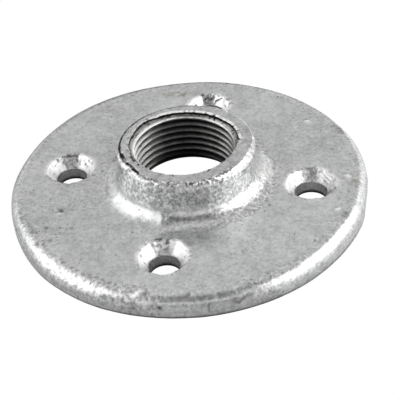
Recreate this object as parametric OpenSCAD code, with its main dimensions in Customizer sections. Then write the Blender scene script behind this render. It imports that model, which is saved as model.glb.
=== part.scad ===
// Floor flange for 3/4 in pipe: a round cast plate with a threaded hub and
// four countersunk screw holes. One casting, zinc coated, thread cut afterwards.
// Units are millimetres. The origin is the centre of the base, +Z up the hub.

/* [Plate] */
// Outside diameter of the plate
flange_d = 88.9; // [82:0.1:100]
// Thickness of the plate
plate_t = 6.2; // [5:0.1:8]
// Radius of the rounded upper rim
rim_round = 3.2; // [1:0.1:4]
// Radius of the small rounding at the foot of the rim
base_round = 0.6; // [0.2:0.1:1]

/* [Hub] */
// Overall height, from the base to the hub's faced end
height = 16.5; // [14:0.1:22]
// Outside diameter of the hub at its faced end
hub_top_d = 32.4; // [31:0.1:36]
// Casting draft on the hub's side, in degrees
hub_draft = 3.0; // [0.5:0.5:6]
// Radius of the fillet where the hub meets the plate
root_fillet = 5.0; // [2:0.1:5]
// Radius of the rounding on the hub's upper outer edge
hub_edge = 0.5; // [0.2:0.1:0.8]

/* [Pipe thread] */
// Bore over the crests of the 14 per inch pipe thread
bore_d = 24.2; // [23.6:0.1:24.6]
// Diameter of the lead-in chamfer at the faced end
mouth_d = 26.8; // [26:0.1:27.4]
// Depth of the lead-in chamfer
mouth_h = 1.3; // [0.8:0.1:2]
// Diameter of the flared relief at the base
relief_d = 32.0; // [28:0.5:33]
// Height of the flared relief
relief_h = 3.0; // [1:0.1:4]

/* [Screw holes] */
// Number of screw holes
hole_count = 4; // [3:1:6]
// Diameter of the circle through the hole centres
hole_pcd = 61.0; // [58:0.1:64]
// Diameter of each screw hole
hole_d = 7.8; // [5:0.1:8]
// Diameter of each countersink at the plate's face
sink_d = 12.4; // [10:0.1:13]
// Included angle of the countersink, in degrees
sink_angle = 72; // [60:1:90]

/* [Hidden] */
$fn = 96;
flange_r = flange_d / 2;
hub_top_r = hub_top_d / 2;
bore_r = bore_d / 2;
core_r = bore_r - 4;               // inner limit of the section before boring
// radius of the drafted hub side at height z
function hub_r(z) = hub_top_r + (height - z) * tan(hub_draft);
// centre of the root fillet, touching both the plate and the drafted side
fil_x = hub_r(plate_t + root_fillet) + root_fillet / cos(hub_draft);
fil_z = plate_t + root_fillet;
// where the fillet leaves the hub's side
side_x = fil_x - root_fillet * cos(hub_draft);
side_z = fil_z - root_fillet * sin(hub_draft);
// centre of the rounding on the hub's upper edge
edge_x = hub_r(height - hub_edge) - hub_edge / cos(hub_draft);
edge_z = height - hub_edge;
sink_h = (sink_d - hole_d) / 2 / tan(sink_angle / 2);
eps = 0.5;

// half section of the plate, rounded at the rim and at its foot
module plate_section() {
    difference() {
        translate([core_r, 0]) square([flange_r - core_r, plate_t]);
        difference() {
            translate([flange_r - rim_round, plate_t - rim_round])
                square([rim_round + eps, rim_round + eps]);
            translate([flange_r - rim_round, plate_t - rim_round]) circle(r = rim_round);
        }
        difference() {
            translate([flange_r - base_round, -eps])
                square([base_round + eps, base_round + eps]);
            translate([flange_r - base_round, base_round]) circle(r = base_round);
        }
    }
}

// half section of the drafted hub with its rounded upper edge
module hub_section() {
    difference() {
        polygon([
            [core_r, plate_t - eps],
            [hub_r(plate_t - eps), plate_t - eps],
            [hub_top_r, height],
            [core_r, height]
        ]);
        difference() {
            polygon([
                [edge_x, edge_z],
                [edge_x + hub_edge * cos(hub_draft), edge_z + hub_edge * sin(hub_draft)],
                [hub_top_r + eps, height],
                [hub_top_r + eps, height + eps],
                [edge_x, height + eps]
            ]);
            translate([edge_x, edge_z]) circle(r = hub_edge);
        }
    }
}

// the concave fillet at the foot of the hub
module root_section() {
    difference() {
        polygon([
            [core_r, plate_t - eps],
            [fil_x, plate_t - eps],
            [fil_x, fil_z],
            [side_x, side_z],
            [core_r, side_z]
        ]);
        translate([fil_x, fil_z]) circle(r = root_fillet);
    }
}

// what the bore removes: flared relief, straight wall, lead-in chamfer
module bore_section() {
    polygon([
        [0, -1],
        [relief_d / 2 + (relief_d / 2 - bore_r) / relief_h, -1],
        [bore_r, relief_h],
        [bore_r, height - mouth_h],
        [mouth_d / 2, height],
        [mouth_d / 2 + (mouth_d / 2 - bore_r) / mouth_h, height + 1],
        [0, height + 1]
    ]);
}

// the turned shape of the whole casting
module body() {
    rotate_extrude() difference() {
        union() {
            plate_section();
            hub_section();
            root_section();
        }
        bore_section();
    }
}

// one countersunk screw hole, drawn as the tool that cuts it
module screw_hole() {
    translate([0, 0, -1]) cylinder(d = hole_d, h = plate_t + 2);
    translate([0, 0, plate_t - sink_h])
        cylinder(d1 = hole_d, d2 = sink_d, h = sink_h);
    translate([0, 0, plate_t])
        cylinder(d = sink_d, h = 0.5);
}

module floor_flange() {
    color([0.66, 0.67, 0.67])
    difference() {
        body();
        for (i = [0 : hole_count - 1])
            rotate([0, 0, i * 360 / hole_count])
                translate([hole_pcd / 2, 0, 0]) screw_hole();
    }
}

floor_flange();
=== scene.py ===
import math

import bpy
import numpy as np
from mathutils import Matrix, Vector
from mathutils.geometry import delaunay_2d_cdt


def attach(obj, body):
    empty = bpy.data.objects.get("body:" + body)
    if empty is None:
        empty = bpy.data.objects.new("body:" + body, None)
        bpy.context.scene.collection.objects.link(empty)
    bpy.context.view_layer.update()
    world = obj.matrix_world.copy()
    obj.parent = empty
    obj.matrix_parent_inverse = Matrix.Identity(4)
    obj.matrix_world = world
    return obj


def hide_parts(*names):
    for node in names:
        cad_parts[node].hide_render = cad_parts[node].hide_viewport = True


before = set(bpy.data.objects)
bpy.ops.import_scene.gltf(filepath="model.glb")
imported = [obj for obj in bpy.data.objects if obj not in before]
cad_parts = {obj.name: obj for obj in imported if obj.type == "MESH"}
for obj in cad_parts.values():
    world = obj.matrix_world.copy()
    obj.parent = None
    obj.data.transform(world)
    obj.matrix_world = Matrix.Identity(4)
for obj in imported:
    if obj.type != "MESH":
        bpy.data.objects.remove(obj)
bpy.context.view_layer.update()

# ----------------------------------------------------------------------------
# Sizes, in millimetres, as in the CAD. The mesh is turned into metres at the end.
# ----------------------------------------------------------------------------
R = 44.45            # plate radius
T = 6.2              # plate thickness
RIM = 3.2            # rounding of the upper rim
FOOT = 1.2           # rounding at the foot of the rim
H = 16.5             # overall height
HUB_TOP = 16.2       # hub radius at its faced end
DRAFT = math.radians(3.0)
FIL = 5.0            # root fillet
BORE = 12.1          # bore over the crests, mean
RELIEF_R, RELIEF_H = 16.0, 3.0
PCD_R = 30.5
HOLE_R = 3.9
SINK_R = 6.2
SINK_HALF = math.radians(36.0)
PITCH = 25.4 / 14.0  # pipe thread, 14 per inch, right-hand
TAU = 2.0 * math.pi

TURN = math.radians(13.70)   # azimuth of the viewing direction in the part's frame

# ----------------------------------------------------------------------------
# Noise on points in millimetres
# ----------------------------------------------------------------------------
_rs = np.random.RandomState(11)
_G = _rs.normal(size=(256, 3))
_G /= np.linalg.norm(_G, axis=1)[:, None]


def _hash(ix, iy, iz, seed):
    m = np.uint64(0xFFFFFFFF)
    a = ix.astype(np.int64).astype(np.uint64) & m
    b = iy.astype(np.int64).astype(np.uint64) & m
    c = iz.astype(np.int64).astype(np.uint64) & m
    h = (a * np.uint64(374761393) + b * np.uint64(668265263) + c * np.uint64(2246822519)
         + np.uint64((seed * 3266489917) & 0xFFFFFFFF)) & m
    h = ((h ^ (h >> np.uint64(15))) * np.uint64(2246822519)) & m
    h = ((h ^ (h >> np.uint64(13))) * np.uint64(3266489917)) & m
    return h ^ (h >> np.uint64(16))


def gnoise(P, wave, seed=0):
    """Gradient noise with features of about `wave` mm, roughly -1 to 1."""
    q = np.asarray(P, float) / wave + 17.31 * (seed + 1)
    i = np.floor(q)
    f = q - i
    u = f * f * f * (f * (f * 6 - 15) + 10)
    out = 0.0
    for dx in (0, 1):
        for dy in (0, 1):
            for dz in (0, 1):
                g = _G[(_hash(i[:, 0] + dx, i[:, 1] + dy, i[:, 2] + dz, seed) & np.uint64(255)).astype(int)]
                d = f - np.array([dx, dy, dz], float)
                w = ((u[:, 0] if dx else 1 - u[:, 0]) * (u[:, 1] if dy else 1 - u[:, 1])
                     * (u[:, 2] if dz else 1 - u[:, 2]))
                out = out + w * (g * d).sum(1)
    return out * 1.6


def fbm(P, wave, seed=0, octaves=3, gain=0.5):
    s, a = 0.0, 1.0
    for k in range(octaves):
        s = s + a * gnoise(P, wave / 2 ** k, seed + 7 * k)
        a *= gain
    return s


def ring(phi, wave_deg, seed=0, octaves=3, gain=0.55):
    """Noise that runs round a circle, features of about wave_deg degrees."""
    r = 1.0 / math.radians(wave_deg)
    P = np.c_[r * np.cos(phi), r * np.sin(phi), np.full_like(phi, 3.7 * seed)]
    return fbm(P, 1.0, seed, octaves, gain)


def pits(P, cell, chance, rmin, rmax, seed):
    """0 to 1 bowl depth of scattered small pits, one at most in each cell."""
    q = np.asarray(P, float) / cell
    i = np.floor(q)
    out = np.zeros(len(P))
    for dx in (-1, 0, 1):
        for dy in (-1, 0, 1):
            for dz in (-1, 0, 1):
                c = i + np.array([dx, dy, dz], float)
                h = _hash(c[:, 0], c[:, 1], c[:, 2], seed)
                on = (h & np.uint64(1023)).astype(float) / 1023.0 < chance
                h2 = _hash(c[:, 0], c[:, 1], c[:, 2], seed + 101)
                jx = ((h2 & np.uint64(255)).astype(float)) / 255.0
                jy = (((h2 >> np.uint64(8)) & np.uint64(255)).astype(float)) / 255.0
                jz = (((h2 >> np.uint64(16)) & np.uint64(255)).astype(float)) / 255.0
                sz = rmin + (rmax - rmin) * (((h2 >> np.uint64(24)) & np.uint64(255)).astype(float)) / 255.0
                d = np.linalg.norm((c + np.c_[jx, jy, jz]) * cell - P, axis=1) / sz
                out = np.maximum(out, np.where(on, np.clip(1 - d * d, 0, 1), 0))
    return out


def smooth(a, b, x):
    t = np.clip((x - a) / (b - a), 0, 1)
    return t * t * (3 - 2 * t)


# ----------------------------------------------------------------------------
# The mesh: one closed skin, built in patches that share their border loops
# ----------------------------------------------------------------------------
V = []        # vertex positions
Z = []        # zone of each vertex
F = []        # faces
FM = []       # material of each face

PLATE, RIMZ, HUB, TOP, BOREZ, SINK, DRILL, UNDER = range(8)


def add(points, zone):
    start = len(V)
    V.extend([tuple(p) for p in points])
    Z.extend([zone] * len(points))
    return np.arange(start, start + len(points))


def bridge(a, b, mat=0):
    """Faces between two closed loops of the same length, or one twice the other's."""
    n = min(len(a), len(b))
    for i in range(n):
        j = (i + 1) % n
        if len(a) == len(b):
            new = [(a[i], a[j], b[j], b[i])]
        elif len(a) > len(b):
            m = a[2 * i + 1]
            new = [(a[2 * i], m, b[i]), (m, a[2 * j], b[j]), (m, b[j], b[i])]
        else:
            m = b[2 * i + 1]
            new = [(a[i], m, b[2 * i]), (a[i], a[j], m), (a[j], b[2 * j], m)]
        F.extend(new)
        FM.extend([mat] * len(new))


def circle(r, z, n, c=(0.0, 0.0), phase=0.0):
    t = phase + TAU * np.arange(n) / n
    return np.c_[c[0] + r * np.cos(t), c[1] + r * np.sin(t), np.full(n, z)]


def fill(outer, inners, z, step, zone, up, mat=0):
    """Fill between an outer loop and several inner loops with even triangles."""
    border = [np.asarray([V[k] for k in loop])[:, :2] for loop in [outer] + inners]
    ids = np.concatenate([outer] + inners)
    rmax = np.linalg.norm(border[0], axis=1).max()
    pts = []
    dy = step * math.sqrt(3) / 2
    ny = int(rmax / dy) + 1
    nx = int(rmax / step) + 2
    rng = np.random.RandomState(5)
    for j in range(-ny, ny + 1):
        x = (np.arange(-nx, nx + 1) + (0.5 if j % 2 else 0.0)) * step
        pts.append(np.c_[x, np.full(len(x), j * dy)])
    pts = np.vstack(pts)
    pts += rng.uniform(-0.12, 0.12, pts.shape) * step
    gap = 0.62 * step
    keep = np.linalg.norm(pts, axis=1) < np.linalg.norm(border[0], axis=1).min() - gap
    for b in border[1:]:
        c = b.mean(0)
        keep &= np.linalg.norm(pts - c, axis=1) > np.linalg.norm(b - c, axis=1).max() + gap
    pts = pts[keep]
    new = add(np.c_[pts, np.full(len(pts), z)], zone)
    ids = np.concatenate([ids, new])
    xy = np.vstack(border + [pts])
    edges, k = [], 0
    for b in border:
        n = len(b)
        edges += [(k + i, k + (i + 1) % n) for i in range(n)]
        k += n
    res = delaunay_2d_cdt([Vector(p) for p in xy], edges, [], 0, 1e-6)
    verts, faces, orig = res[0], res[2], res[3]
    if len(verts) != len(xy):
        raise RuntimeError("the plate's fill changed its points")
    back = [o[0] for o in orig]
    P = np.array([(v[0], v[1]) for v in verts])
    mid = np.array([P[list(f)].mean(0) for f in faces])
    keep = np.ones(len(faces), dtype=bool)
    for k, b in enumerate(border):              # each loop is star-shaped about its middle
        m = b.mean(0)
        t = np.arctan2(b[:, 1] - m[1], b[:, 0] - m[0])
        order = np.argsort(t)
        t, r = t[order], np.linalg.norm(b - m, axis=1)[order]
        tc = np.arctan2(mid[:, 1] - m[1], mid[:, 0] - m[0])
        j = np.searchsorted(t, tc)
        i0, i1 = (j - 1) % len(t), j % len(t)
        dt, da = (t[i1] - t[i0]) % TAU, (tc - t[i0]) % TAU
        lim = r[i0] * r[i1] * np.sin(dt) / (r[i0] * np.sin(da) + r[i1] * np.sin(dt - da))   # the chord's radius
        d = np.linalg.norm(mid - m, axis=1)
        keep &= (d < lim) if k == 0 else (d > lim)
    for f, on in zip(faces, keep):
        if not on:
            continue
        t = [int(ids[back[q]]) for q in f]
        a, b2, c2 = (P[q] for q in f[:3])
        ccw = (b2[0] - a[0]) * (c2[1] - a[1]) - (b2[1] - a[1]) * (c2[0] - a[0]) > 0
        if ccw != up:
            t.reverse()
        F.append(tuple(t))
        FM.append(mat)


NR = 600     # round the rim
NT = 640     # round the hub's upper edge and mouth
NH = NT // 2     # round the hub's foot and the bore
NS = 88      # round each screw hole

# rim, from the plate's flat down to the base; the casting isn't quite round
rim_phi = TAU * np.arange(NR) / NR
OUTLINE = ((-14, 0.0), (-10, 0.18), (-5, 0.40), (2, 0.36), (8, 0.32), (14, 0.16), (20, -0.14), (26, -0.44), (32, -0.62), (40, -0.56), (50, -0.42), (60, -0.26),
           (70, -0.10), (80, -0.18), (92, -0.40), (98, -0.30), (106, 0.12), (116, 0.40), (132, 0.40), (146, 0.06), (154, -0.06), (163, 0.04), (169, 0.20), (175, 0.22),
           (184, 0.0), (198, -0.12), (208, 0.04), (216, 0.22), (224, 0.12), (234, 0.18), (244, 0.08), (256, 0.0), (290, 0.0), (304, -0.02), (312, -0.08), (324, -0.04), (330, 0.10), (336, 0.30),
           (341, 0.16), (346, 0.0))


def outline(t):
    return np.interp((np.degrees(t) - math.degrees(TURN) + 14.0) % 360.0 - 14.0, *zip(*OUTLINE))


def rim_loop(r, z, w):
    rr0 = r + w * outline(rim_phi)
    return add(np.c_[rr0 * np.cos(rim_phi), rr0 * np.sin(rim_phi), np.broadcast_to(z, (NR,))], RIMZ)


# the rounding is a conic, flatter at the front left, deeper and narrower on the right
rim_az = (np.degrees(rim_phi) - math.degrees(TURN) + 180.0) % 360.0 - 180.0
full = np.interp(rim_az, (-180, -165, -150, -125, -112, -95, -75, -60, -10, 10), (0.70, 0.62, 0.55, 0.55, 0.66, 0.7071, 0.7071, 0.64, 0.64, 0.7071), period=360.0)
deep = RIM + np.interp(rim_az, (-180, -160, -130, -110, -60, -40, -10, 10), (0.0, 0.15, 0.15, 0.0, 0.0, 0.25, 0.30, 0.0), period=360.0)
wide = RIM - np.interp(rim_az, (-180, -45, -32, -22, -10, 0, 15, 30, 45, 60, 80, 95), (0.0, 0.0, 0.25, 0.60, 1.05, 1.35, 1.65, 1.75, 1.30, 0.70, 0.15, 0.0), period=360.0)
hold = 0.7 * np.clip(RIM - wide, 0, 1)       # how far the start of the rounding follows the outline
loops = [rim_loop(R - RIM, T, 0.0), rim_loop(R - RIM + 0.05 + 0.85 * (RIM - wide), T, hold)]
for s in np.linspace(0, 1, 12)[1:]:
    w0, w1, w2 = (1 - s) ** 2, 2 * s * (1 - s) * full, s * s
    wt = w0 + w1 + w2
    loops.append(rim_loop(R - wide + wide * (w1 + w2) / wt, T - deep * w2 / wt, hold + (1 - hold) * (w1 + w2) / wt))
foot_r = np.interp(rim_az, (-180, -150, -100, -78, -62, -48, -36, -22, 0, 12, 30), (FOOT, FOOT, FOOT, 1.05, 0.9, 0.7, 0.4, 0.3, 0.3, 0.6, FOOT), period=360.0)
for s in np.linspace(0, 1, 7)[1:]:
    loops.append(rim_loop(R, T - deep + (foot_r - T + deep) * s, 1.0))
for d in np.linspace(0, math.pi / 2, 8)[1:]:
    loops.append(rim_loop(R - foot_r + foot_r * math.cos(d), foot_r - foot_r * math.sin(d), 1.0))
rim_in, rim_base = loops[0], loops[-1]
for a, b in zip(loops[:-1], loops[1:]):
    bridge(b, a)

# screw holes: softened edge, countersink, drilled wall, softened foot. Each was
# drilled a little off and to its own depth: shift of its axis, hole and sink radius.
DRILLED = (((0.48, -0.13), 4.00, 6.10), ((0.15, 0.04), 3.85, 5.55),
           ((0.16, 0.19), 3.78, 5.95), ((0.23, 0.31), 3.74, 5.90))
hole_top, hole_base, hole_axis = [], [], []
for k, (shift, hole_r, sink_r) in enumerate(DRILLED):
    c = (PCD_R * math.cos(k * math.pi / 2) + shift[0], PCD_R * math.sin(k * math.pi / 2) + shift[1])
    sink_h = (sink_r - hole_r) / math.tan(SINK_HALF)
    prof = []
    er = 0.55                                    # edge radius at the plate's face
    turn = math.pi / 2 - SINK_HALF               # from flat to the cone's slope
    tl = er * math.tan(turn / 2)
    for d in np.linspace(0, turn, 7):
        prof.append((sink_r + tl - er * math.sin(d), T - er + er * math.cos(d), SINK))
    r0, z0 = prof[-1][:2]
    zc = T - sink_h
    for s in np.linspace(0, 1, 11)[1:]:
        prof.append((r0 + (hole_r + 0.06 - r0) * s, z0 + (zc + 0.1 - z0) * s, SINK))
    prof.append((hole_r, zc - 0.06, DRILL))
    for z in np.linspace(zc - 0.06, 0.25, 8)[1:]:
        prof.append((hole_r - 0.10 * (zc - z) / zc, z, DRILL))
    prof.append((hole_r - 0.05, 0.07, DRILL))
    prof.append((hole_r + 0.12, 0.0, UNDER))
    th = TAU * np.arange(NS) / NS
    wave = 0.22 * ring(th, 24, 101 + k) + 0.20 * ring(th, 11, 111 + k)
    ls = []
    for r, z, zn in prof:
        rr0 = r + wave * float(smooth(zc, T, z)) * (zn == SINK)
        ls.append(add(np.c_[c[0] + rr0 * np.cos(th), c[1] + rr0 * np.sin(th), np.full(NS, z)], zn))
    for a, b in zip(ls[:-1], ls[1:]):
        bridge(a, b)
    hole_top.append(ls[0])
    hole_base.append(ls[-1])
    hole_axis.append(c)

# hub: fillet, drafted side, upper edge, faced end, mouth
phi = TAU * np.arange(NT) / NT
cosp, sinp = np.cos(phi), np.sin(phi)
view_az = (np.degrees(phi) - math.degrees(TURN) + 180.0) % 360.0 - 180.0


def around(*table):
    """Values given at azimuths (degrees, from the viewer's right), carried round the hub."""
    t, v = zip(*table)
    return np.interp(view_az, t, v, period=360.0)


def hub_r(z):
    return HUB_TOP + (H - z) * math.tan(DRAFT)


fx = hub_r(T + FIL) + FIL / math.cos(DRAFT)
fz = T + FIL
# the cast hub bulges on the right, where its upper edge is broadly rounded off
uneven = 0.05 * ring(phi, 40, 8)
low = uneven + around((-180, 0.05), (-150, 0.05), (-115, -0.20), (-90, 0.05), (-60, 0.50), (-45, 0.80), (-30, 1.00),
                      (0, 1.10), (20, 0.80), (45, 0.40), (70, 0.10), (90, 0.0))
high = uneven + around((-180, 0.05), (-150, 0.05), (-130, 0.10), (-115, 0.20), (-100, 0.40), (-85, 0.65), (-70, 0.85),
                       (-50, 1.10), (-30, 1.20), (0, 1.10), (20, 0.80), (45, 0.40), (70, 0.10), (90, 0.0))
edge_a = around((-180, 0.30), (-171, 0.45), (-160, 0.80), (-148, 0.95), (-138, 0.85), (-128, 0.72), (-118, 0.62), (-105, 0.65), (-90, 0.80), (-75, 0.85), (-62, 1.00), (-45, 1.35), (-32, 1.55),
                (-17, 1.35), (-4, 0.85), (7, 0.70), (30, 0.50), (60, 0.35))
edge_a = np.clip(edge_a + 0.08 * ring(phi, 12, 3), 0.2, 1.8)
edge_b = around((-180, 0.40), (-171, 0.55), (-160, 0.95), (-148, 1.15), (-138, 1.05), (-128, 1.00), (-118, 1.15), (-105, 1.80), (-90, 2.30), (-75, 2.30), (-60, 2.00), (-45, 1.90), (-30, 1.90),
                (-15, 1.50), (0, 1.00), (15, 0.80), (30, 0.60), (60, 0.40))
edge_b = np.clip(edge_b + 0.10 * ring(phi, 10, 4), 0.25, 2.6)
bend = around((-180, 0.70), (-110, 0.70), (-90, 0.62), (-70, 0.45), (-55, 0.28), (-15, 0.28), (0, 0.45), (30, 0.70))
# the mouth is torn rather than clean: wider at the two sides, with a notch at one end
mouth = around((-180, 13.50), (-172, 13.35), (-163, 13.35), (-150, 13.10), (-135, 12.95), (-105, 12.85), (-45, 12.85),
               (-30, 12.90), (-15, 13.00), (-2, 13.42), (8, 13.42), (18, 13.50), (28, 13.40), (41, 13.10), (53, 13.12),
               (64, 13.15), (73, 13.08), (85, 13.15), (97, 13.25), (109, 13.45), (120, 13.45), (127, 13.85), (135, 14.00),
               (142, 13.95), (151, 13.75), (157, 13.62), (173, 13.62))
mouth_s = mouth
calm = around((-180, 1.0), (-20, 1.0), (0, 0.35), (75, 0.35), (95, 0.8), (110, 1.0))
mouth = mouth + 0.10 * ring(phi, 7, 21) + calm * (0.17 * ring(phi, 2.8, 22) + 0.07 * ring(phi, 1.4, 25))
mouth += 0.50 * np.exp(-((np.degrees(phi) - 12.0) / 1.4) ** 2)
step = around((-180, 0.45), (-140, 0.30), (-100, 0.30), (-30, 0.40), (0, 0.66), (20, 0.76), (60, 0.76), (85, 0.66), (110, 0.62),
              (135, 0.55), (155, 0.50))
step_s = step
step = np.clip(step * (1 + calm * (0.35 * ring(phi, 6, 23) + 0.25 * ring(phi, 2.2, 24))), 0.12, 1.05)
# its upper edge is rolled over here and there
roll = around((-180, 0.08), (-160, 0.03), (-100, 0.0), (-20, 0.0), (-5, 0.08), (5, 0.18), (60, 0.18), (85, 0.14), (110, 0.10), (140, 0.08))
roll = np.minimum(roll * np.clip(0.9 + 0.9 * ring(phi, 9, 29), 0.35, 1.3), 0.6 * step)
# the uppermost turn of the thread runs round the mouth and out at the front
turn_z = around((-180, 15.52), (-95, 15.95), (-60, 15.85), (-35, 15.00), (-15, 14.52), (0, 14.68), (45, 15.00), (90, 15.25), (135, 15.42), (179.9, 15.51))


def hub_loop(r, z, zone, every=1):
    r = np.broadcast_to(np.asarray(r, float), (NT,))
    z = np.broadcast_to(np.asarray(z, float), (NT,))
    return add(np.c_[r * cosp, r * sinp, z][::every], zone)


# its foot spreads on the left, and the spread breaks off at the front
spread = around((-180, 0.85), (-165, 1.15), (-150, 1.25), (-135, 1.20), (-125, 1.25), (-118, 1.50), (-109.8, 1.75), (-106, 0.90), (-101, 0.25), (-96, 0.0), (90, 0.0), (150, 0.20))

# the fillet is tighter there too
tight = around((-180, 0.5), (-165, 0.9), (-150, 1.2), (-135, 1.5), (-118, 1.8), (-109.8, 1.8), (-106, 0.9), (-101, 0.25), (-96, 0.0), (90, 0.0), (150, 0.15))
fil_v = FIL - tight
fx_v, fz_v = fx - 0.949 * tight, fz - tight


def swell(z):
    t = (z - T) / (H - T)
    flare = np.clip(1 - t, 0, 1)
    return low + (high - low) * t + spread * flare ** 2.2 + 0.8 * tight * flare ** 1.8


loops = []
a_end = math.pi / 2 - DRAFT
for d in np.linspace(0, a_end, 19):
    z = fz_v - fil_v * math.cos(d)
    loops.append(hub_loop(fx_v - fil_v * math.sin(d) + swell(z), z, HUB, 2))
z_lo = fz_v - fil_v * math.cos(a_end)
z_hi = H - edge_b
for s in np.linspace(0, 1, 13)[1:]:
    z = z_lo + (z_hi - z_lo) * s
    loops.append(hub_loop(hub_r(z) + swell(z), z, HUB, 2 if s < 0.7 else 1))
r_hi = hub_r(z_hi) + swell(z_hi)
r_edge = r_hi - edge_a
for s in np.linspace(0, 1, 11)[1:]:              # a conic from the side over to the faced end
    w0, w1, w2 = (1 - s) ** 2, 2 * s * (1 - s) * bend, s * s
    wt = w0 + w1 + w2
    loops.append(hub_loop(((w0 + w1) * r_hi + w2 * r_edge) / wt, (w0 * z_hi + (w1 + w2) * H) / wt, HUB if s < 0.85 else TOP))
for s in (0.05, 0.10, 0.15, 0.20, 0.26, 0.33, 0.42, 0.53, 0.64, 0.74, 0.82, 0.88, 0.93, 0.97, 1.0):
    loops.append(hub_loop(r_edge + (mouth - r_edge) * s, H - roll * np.clip(1 - (r_edge - mouth) * (1 - s) / 0.6, 0, 1) ** 2, TOP))
n_cut = len(loops)
for s in (0.08, 0.35, 0.7, 1.0):
    loops.append(hub_loop(mouth - 0.02 - 0.05 * s, H - roll - (step - roll) * s, BOREZ))
r_cut, z_cut = mouth - 0.07, H - step
z_cut = np.maximum(z_cut, turn_z + 0.10)
LEAD = (0.12, 0.26, 0.40, 0.54, 0.68, 0.80, 0.90, 1.0)
for s in LEAD:
    torn_s = 1 - float(smooth(0.0, 0.45, s))
    ra0 = torn_s * r_cut + (1 - torn_s) * (mouth_s - 0.07)
    za0 = np.maximum(torn_s * z_cut + (1 - torn_s) * (H - step_s), turn_z + 0.10)
    loops.append(hub_loop(ra0 + (12.33 - ra0) * s, za0 + (turn_z - za0) * s, BOREZ, 2 if s == 1.0 else 1))
hub_in, hub_mouth = loops[0], loops[-1]
for k, (a, b) in enumerate(zip(loops[:-1], loops[1:])):
    bridge(a, b, 1 if k >= n_cut - 1 else 0)

# bore: a strip whose rows follow the helix, cut level at both ends
ROWS = 8
ph_rows = np.array([-0.085, 0.0, 0.085, 0.20, 0.32, 0.44, 0.56, 0.75])
phi_b = phi[::2]
z_top = np.array([V[k][2] for k in hub_mouth])
Z0 = 9.49 - PITCH * (90.0 + 13.7) / 360.0    # height of a crest at azimuth 0


def thread_r(ph, z, t):
    """Radius of the cut thread: phase ph in turns from a crest, height z, angle t."""
    u = np.abs((ph + 0.5) % 1.0 - 0.5)
    g = np.clip((u - 0.085) / (0.43 - 0.085), 0, 1)
    rc = 12.28 - (H - z) / 32.0
    return rc + 1.02 * g


grid = []
n_turn = int(H / PITCH) + 2
for i in range(NH):
    t = phi_b[i]
    col, last = [], None
    zt = z_top[i]
    for k in range(n_turn * ROWS, -2 * ROWS, -1):
        ph = k // ROWS + ph_rows[k % ROWS]
        z = Z0 - 6 * PITCH + PITCH * (ph + t / TAU)
        zz = min(max(z, 0.0), zt)
        if zz == zt:
            key = ("t", i)
        elif zz == 0.0:
            key = ("b", i)
        else:
            key = (k, i)
        col.append((key, zz))
    grid.append(col)
vid = {}
for i in range(NH):
    t = phi_b[i]
    vid[("t", i)] = int(hub_mouth[i])
    for key, z in grid[i]:
        if key in vid:
            continue
        ph = (z - (Z0 - 6 * PITCH)) / PITCH - t / TAU
        r = float(thread_r(ph, z, t))
        flare = RELIEF_R - (RELIEF_R - 11.86) * z / RELIEF_H
        wear = 0.035 * math.sin(7 * t + 2.1 * z) * math.cos(3.3 * t - 1.3 * z)
        r = max(r + wear * 0.5, flare)
        if z == 0.0:
            r = RELIEF_R
        vid[key] = len(V)
        V.append((r * math.cos(t), r * math.sin(t), z))
        Z.append(BOREZ)
bore_base = np.array([vid[("b", i)] for i in range(NH)])
ncol = len(grid[0])
for i in range(NH):
    for k in range(ncol - 1):
        a, b = grid[i][k][0], grid[i][k + 1][0]
        if i + 1 < NH:
            d, c = grid[i + 1][k][0], grid[i + 1][k + 1][0]
        else:                                   # the seam: one turn further up the helix
            kk = k - ROWS
            if kk >= 0:
                d = grid[0][kk][0]
            else:
                d = ("t", 0)
            if kk + 1 >= 0:
                c = grid[0][kk + 1][0]
            else:
                c = ("t", 0)
        q = []
        for key in (a, b, c, d):
            w = vid[key]
            if w not in q:
                q.append(w)
        if len(q) >= 3:
            F.append(tuple(q[::-1]))
            FM.append(1)

# plate face and base
fill(rim_in, [hub_in] + hole_top, T, 0.5, PLATE, True)
fill(rim_base, [bore_base] + hole_base, 0.0, 1.2, UNDER, False)

V = np.array(V, float)
Z = np.array(Z)

# ----------------------------------------------------------------------------
# Cast surface: displace along the normals
# ----------------------------------------------------------------------------
tri = np.array([(f[0], f[q], f[q + 1]) for f in F for q in range(1, len(f) - 1)])
N = np.zeros_like(V)
fn = np.cross(V[tri[:, 1]] - V[tri[:, 0]], V[tri[:, 2]] - V[tri[:, 0]])
for q in range(3):
    np.add.at(N, tri[:, q], fn)
N /= np.maximum(np.linalg.norm(N, axis=1), 1e-12)[:, None]

az = np.degrees(np.arctan2(V[:, 1], V[:, 0]))
rad = np.hypot(V[:, 0], V[:, 1])


def sector(lo, hi, soft):
    mid, half = (lo + hi) / 2.0, (hi - lo) / 2.0
    x = np.abs((az - mid + 180.0) % 360.0 - 180.0)
    return 1 - smooth(half - soft, half + soft, x)


def zones(table):
    w = np.zeros(len(V))
    for zone, x in table:
        w[Z == zone] = x
    return w


cast = zones(((PLATE, 1.0), (RIMZ, 1.0), (HUB, 1.2), (TOP, 0.25), (SINK, 1.0), (DRILL, 0.6)))
skin = (Z != BOREZ) & (Z != TOP) & (Z != UNDER)
near_hub = np.exp(-((rad - 20.5) / 3.4) ** 2) * skin
# how gritty the zinc is from place to place
grit = zones(((PLATE, 0.70), (RIMZ, 0.95), (HUB, 1.00), (TOP, 1.20), (SINK, 0.5), (DRILL, 0.7), (UNDER, 0.5), (BOREZ, 0.3)))
grit = grit + 0.25 * near_hub + 0.20 * np.clip(gnoise(V, 9.0, 12), -1, 1) * skin
patchy = np.exp(-((V[:, 0] + 27.0) / 8.0) ** 2 - ((V[:, 1] + 12.5) / 8.0) ** 2) * (Z == PLATE)
grit = grit + 1.1 * patchy
grit = np.clip(grit, 0.05, 2.4)

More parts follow.
